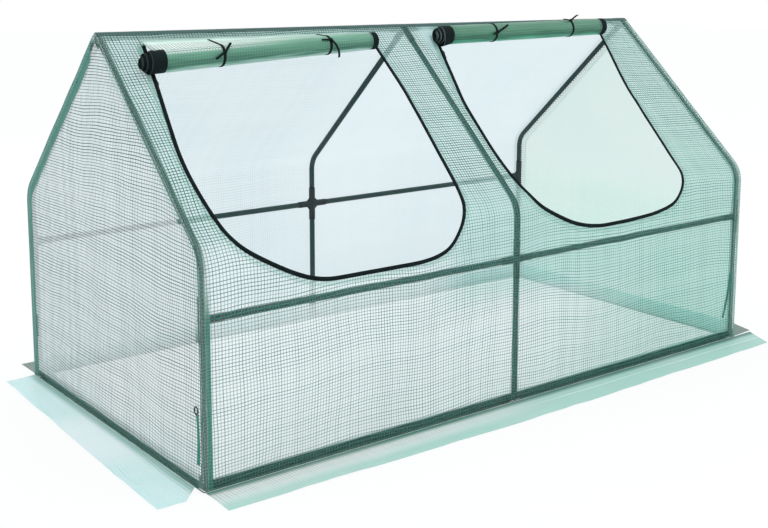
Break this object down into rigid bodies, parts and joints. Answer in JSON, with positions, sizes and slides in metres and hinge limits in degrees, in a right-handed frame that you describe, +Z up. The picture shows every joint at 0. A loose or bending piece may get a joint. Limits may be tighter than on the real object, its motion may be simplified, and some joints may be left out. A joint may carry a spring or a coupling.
{
  "type": "mini greenhouse",
  "caption": "Low ridge-roofed mini greenhouse: tube frame with push-fit connectors, fitted film cover, zipped roll-up front doors and fold-out ground flaps.",
  "frame": {"origin": "on the ground, under the middle of the whole greenhouse with its ground flaps laid out", "axes": "+X along the ridge to the right as seen from the doors, +Y from the doors to the back, +Z up"},
  "size_m": [2.0362, 1.1802, 0.9623],
  "materials": {
    "tube_paint": "dark green powder-coated steel tube, satin",
    "connector_plastic": "dark green-black moulded plastic, matt",
    "cover_film": "translucent film with a woven reinforcing grid, slightly glossy",
    "flap_film": "translucent film with a woven reinforcing grid, slightly glossy",
    "door_film": "many layers of translucent reinforced film, glossy",
    "zip_tape": "black woven zip tape, matt",
    "tie_tape": "black woven tape, matt",
    "zip_slider": "black enamelled zip slider, satin"
  },
  "bodies": {
    "frame_and_cover": {"front_rafter_left": "tube_paint", "back_rafter_left": "tube_paint", "front_post_left": "tube_paint", "back_post_left": "tube_paint", "front_rafter_middle": "tube_paint", "back_rafter_middle": "tube_paint", "front_post_middle": "tube_paint", "back_post_middle": "tube_paint", "front_rafter_right": "tube_paint", "back_rafter_right": "tube_paint", "front_post_right": "tube_paint", "back_post_right": "tube_paint", "ridge_rail_left": "tube_paint", "ridge_rail_right": "tube_paint", "front_mid_rail_left": "tube_paint", "front_mid_rail_right": "tube_paint", "back_mid_rail_left": "tube_paint", "back_mid_rail_right": "tube_paint", "front_base_rail_left": "tube_paint", "front_base_rail_right": "tube_paint", "back_base_rail_left": "tube_paint", "back_base_rail_right": "tube_paint", "end_base_rail_left": "tube_paint", "end_base_rail_right": "tube_paint", "ridge_joint_left": "connector_plastic", "ridge_joint_middle": "connector_plastic", "ridge_joint_right": "connector_plastic", "front_tee_left": "connector_plastic", "front_cross_middle": "connector_plastic", "front_tee_right": "connector_plastic", "front_foot_left": "connector_plastic", "front_foot_middle": "connector_plastic", "front_foot_right": "connector_plastic", "back_tee_left": "connector_plastic", "back_cross_middle": "connector_plastic", "back_tee_right": "connector_plastic", "back_foot_left": "connector_plastic", "back_foot_middle": "connector_plastic", "back_foot_right": "connector_plastic", "cover_front": "cover_film", "cover_back": "cover_film", "cover_end_left": "cover_film", "cover_end_right": "cover_film", "zip_track_left": "zip_tape", "zip_track_right": "zip_tape"},
    "rolled_door_left": {"door_roll_left": "door_film", "door_zip_left": "zip_tape", "roll_tie_far_left": "tie_tape", "roll_tie_left": "tie_tape"},
    "slider_left": {"zip_slider_left": "zip_slider"},
    "rolled_door_right": {"door_roll_right": "door_film", "door_zip_right": "zip_tape", "roll_tie_right": "tie_tape", "roll_tie_far_right": "tie_tape"},
    "slider_right": {"zip_slider_right": "zip_slider"},
    "flap_front": {"ground_flap_front": "flap_film"},
    "flap_back": {"ground_flap_back": "flap_film"},
    "flap_left": {"ground_flap_left": "flap_film"},
    "flap_right": {"ground_flap_right": "flap_film"}
  },
  "joints": [
    {"name": "rolled_door_left_lift", "type": "hinge", "parent": "frame_and_cover", "child": "rolled_door_left", "pos_m": [0, -0.02437, 0.92696], "axis": [-1, 0, 0], "range_deg": [0, 95]},
    {"name": "rolled_door_right_lift", "type": "hinge", "parent": "frame_and_cover", "child": "rolled_door_right", "pos_m": [0, -0.02437, 0.92696], "axis": [-1, 0, 0], "range_deg": [0, 95]},
    {"name": "slider_left_slide", "type": "slide", "parent": "frame_and_cover", "child": "slider_left", "axis": [-0.1237, -0.7288, -0.6735], "range_m": [0, 0.19]},
    {"name": "slider_right_slide", "type": "slide", "parent": "frame_and_cover", "child": "slider_right", "axis": [-0.1999, -0.7196, -0.665], "range_m": [0, 0.17]},
    {"name": "flap_front_fold", "type": "hinge", "parent": "frame_and_cover", "child": "flap_front", "pos_m": [0, -0.4731, 0.0004], "axis": [-1, 0, 0], "range_deg": [0, 90]},
    {"name": "flap_back_fold", "type": "hinge", "parent": "frame_and_cover", "child": "flap_back", "pos_m": [0, 0.4731, 0.0004], "axis": [1, 0, 0], "range_deg": [0, 90]},
    {"name": "flap_left_fold", "type": "hinge", "parent": "frame_and_cover", "child": "flap_left", "pos_m": [-0.9041, 0, 0.0004], "axis": [0, 1, 0], "range_deg": [0, 90]},
    {"name": "flap_right_fold", "type": "hinge", "parent": "frame_and_cover", "child": "flap_right", "pos_m": [0.9041, 0, 0.0004], "axis": [0, -1, 0], "range_deg": [0, 90]}
  ]
}
